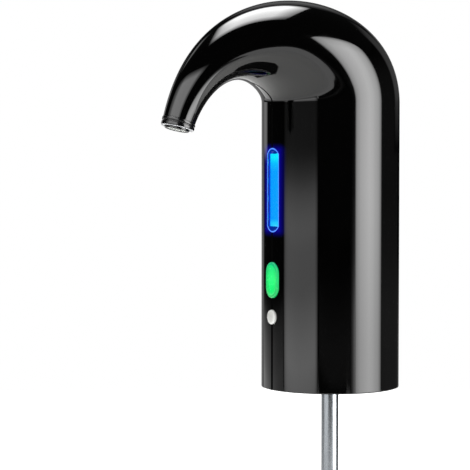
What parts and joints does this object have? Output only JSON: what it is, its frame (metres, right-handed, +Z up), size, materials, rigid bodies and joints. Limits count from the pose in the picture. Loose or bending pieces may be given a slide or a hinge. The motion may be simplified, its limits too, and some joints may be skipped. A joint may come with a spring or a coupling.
{
  "type": "electric wine aerator",
  "caption": "Hooked gloss column that stands on a bottle's neck: its motor pump presses air into the bottle and drives wine up a telescopic tube to the spout.",
  "frame": {"origin": "centre of the column's bottom rim, on the axis of the stopper that holds the part in the bottle", "axes": "+Z up the column, spout, window and buttons towards -Y, plane X = 0 between the two shell halves"},
  "size_m": [0.064, 0.1209, 0.2587],
  "materials": {
    "gloss_black": "piano-black gloss",
    "nozzle_black": "gloss, with a thin bright rim",
    "inner_plastic": "fine moulded matt",
    "window_clear": "clear, polished",
    "light_bar": "lit blue diffuser",
    "led_white": "clear potted",
    "pour_green": "lit translucent green",
    "mode_white": "white gloss",
    "board_green": "solder mask",
    "steel": "plain zinc and nickel",
    "tube_steel": "drawn stainless",
    "cell_sleeve": "shrink sleeve over the cell's can",
    "magnet_grey": "sintered ferrite",
    "lamination": "stacked laminations",
    "bronze": "sintered bronze",
    "copper": "enamelled copper",
    "motor_black": "moulded",
    "pump_ivory": "moulded acetal",
    "clear_silicone": "translucent food-grade silicone",
    "dark_rubber": "soft rubber"
  },
  "bodies": {
    "housing": {"left_shell": "gloss_black", "right_shell": "gloss_black", "base_cover": "inner_plastic", "base_screws": "steel", "nozzle_ring": "nozzle_black", "outlet_tube": "clear_silicone", "window_lens": "window_clear", "light_guide": "light_bar", "leds": "led_white", "control_board": "board_green", "board_screws": "steel", "pour_switch": "motor_black", "mode_switch": "motor_black", "charge_board": "board_green", "charge_socket": "steel", "battery_cell": "cell_sleeve", "battery_contacts": "steel", "chassis": "inner_plastic", "motor_can": "steel", "motor_magnets": "magnet_grey", "motor_bushes": "bronze", "motor_end_cap": "motor_black", "motor_brushes": "copper", "pump_body": "pump_ivory", "rocker": "pump_ivory", "diaphragm": "dark_rubber", "valve_plate": "pump_ivory", "pump_cover": "pump_ivory", "pump_screws": "steel", "air_hose": "clear_silicone", "check_valve": "pump_ivory", "manifold": "inner_plastic", "stopper": "clear_silicone", "seat_gasket": "dark_rubber", "wine_hose": "clear_silicone", "dip_tube_upper": "tube_steel"},
    "pour_button": {"pour_button": "pour_green", "pour_switch_stem": "pump_ivory"},
    "mode_button": {"mode_button": "mode_white", "mode_switch_stem": "pump_ivory"},
    "pump_rotor": {"motor_shaft": "steel", "armature": "lamination", "windings": "copper", "commutator": "copper", "eccentric": "pump_ivory", "eccentric_pin": "steel"},
    "tube_middle": {"dip_tube_middle": "tube_steel"},
    "tube_lower": {"dip_tube_lower": "tube_steel"}
  },
  "joints": [
    {"name": "pour_press", "type": "slide", "parent": "housing", "child": "pour_button", "axis": [0, 1, 0], "range_m": [0, 0.0006], "stiffness_N_per_m": 1500, "springref_m": -0.0005},
    {"name": "mode_press", "type": "slide", "parent": "housing", "child": "mode_button", "axis": [0, 1, 0], "range_m": [0, 0.0006], "stiffness_N_per_m": 1500, "springref_m": -0.0005},
    {"name": "pump_spin", "type": "hinge", "parent": "housing", "child": "pump_rotor", "pos_m": [-0.0113, 0.003, 0.08], "axis": [0, 0, 1], "continuous": true},
    {"name": "tube_middle_slide", "type": "slide", "parent": "housing", "child": "tube_middle", "axis": [0, 0, -1], "range_m": [0, 0.093]},
    {"name": "tube_lower_slide", "type": "slide", "parent": "tube_middle", "child": "tube_lower", "axis": [0, 0, -1], "range_m": [0, 0.093]}
  ]
}
